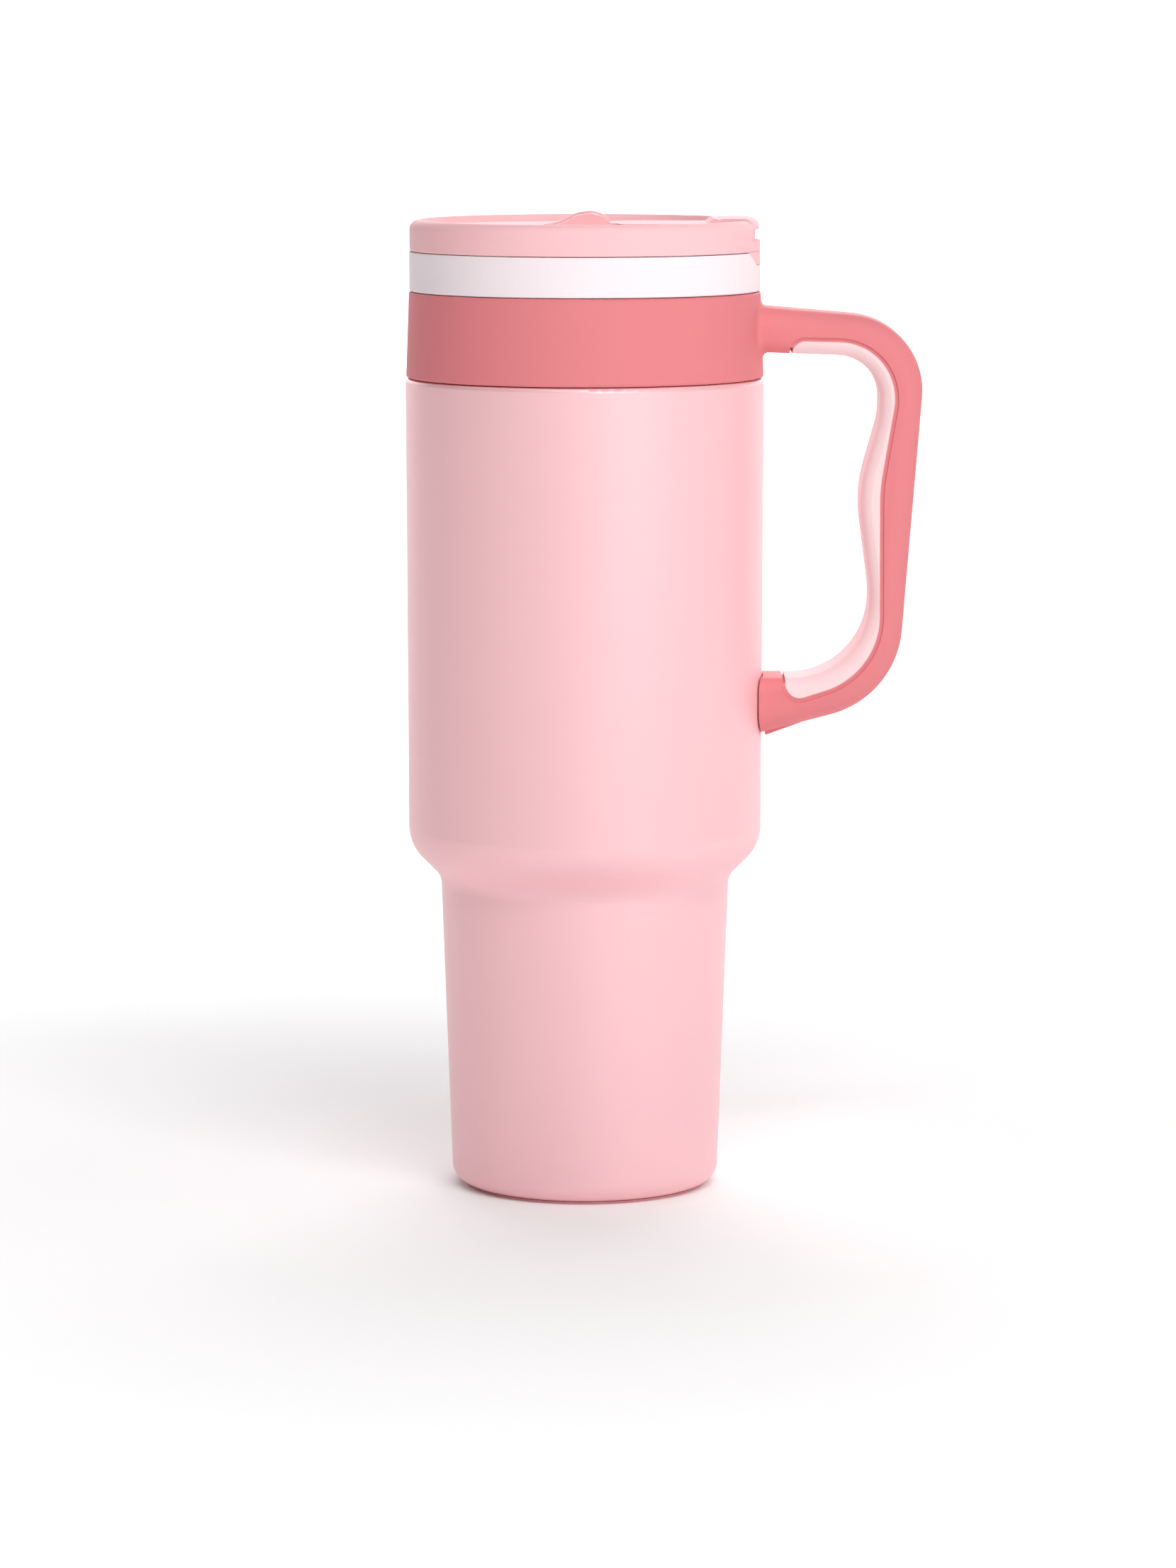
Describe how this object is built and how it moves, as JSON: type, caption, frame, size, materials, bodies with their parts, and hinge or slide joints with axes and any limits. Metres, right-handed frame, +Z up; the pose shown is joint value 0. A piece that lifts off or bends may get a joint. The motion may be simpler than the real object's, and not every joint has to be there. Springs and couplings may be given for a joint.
{
  "type": "insulated tumbler with lid",
  "caption": "Double-walled steel tumbler with a stepped-in base, a D handle on a collar and a screw-on lid with a hinged flip cover.",
  "frame": {"origin": "centre of the base pad's underside, on the cup's axis, at the level that the tumbler stands on", "axes": "+Z up along the cup's axis, +X towards the handle, the lid's flip cover hinges about Y"},
  "size_m": [0.1456, 0.1012, 0.277],
  "materials": {
    "body_coat": "satin powder coat",
    "steel": "brushed stainless steel",
    "screw_steel": "turned stainless steel",
    "resin": "cured sealing resin",
    "getter": "sintered tablet",
    "plastic_rose": "satin moulded polypropylene",
    "plastic_pink": "satin moulded polypropylene",
    "plastic_pale": "satin moulded polypropylene",
    "grip_pale": "soft-touch elastomer",
    "silicone_rose": "matte silicone",
    "silicone_clear": "translucent silicone"
  },
  "bodies": {
    "cup": {"outer_shell": "body_coat", "inner_liner": "steel", "base_disc": "steel", "port_seal": "resin", "vacuum_getter": "getter", "base_pad": "silicone_rose", "neck_ring": "plastic_rose", "neck_seal": "silicone_clear", "handle_collar": "plastic_rose", "grip_insert": "grip_pale", "handle_bracket": "steel", "handle_screw": "screw_steel", "foot_cover": "plastic_rose"},
    "gasket": {"lid_gasket": "silicone_clear"},
    "lid": {"lid_base": "plastic_pale", "lid_cap": "plastic_pink", "duct_seal": "silicone_clear", "vent_seal": "silicone_clear", "hinge_pin": "screw_steel"},
    "flip_cover": {"flap": "plastic_pink", "flap_seal": "silicone_clear", "vent_plug": "silicone_clear"}
  },
  "joints": [
    {"name": "lid_lift", "type": "slide", "parent": "cup", "child": "gasket", "axis": [0, 0, 1], "range_m": [0, 0.06]},
    {"name": "lid_turn", "type": "hinge", "parent": "gasket", "child": "lid", "pos_m": [0, 0, 0.2551], "axis": [0, 0, 1], "range_deg": [0, 360]},
    {"name": "flap_hinge", "type": "hinge", "parent": "lid", "child": "flip_cover", "pos_m": [0.0018, 0, 0.272], "axis": [0, -1, 0], "range_deg": [0, 140]}
  ]
}
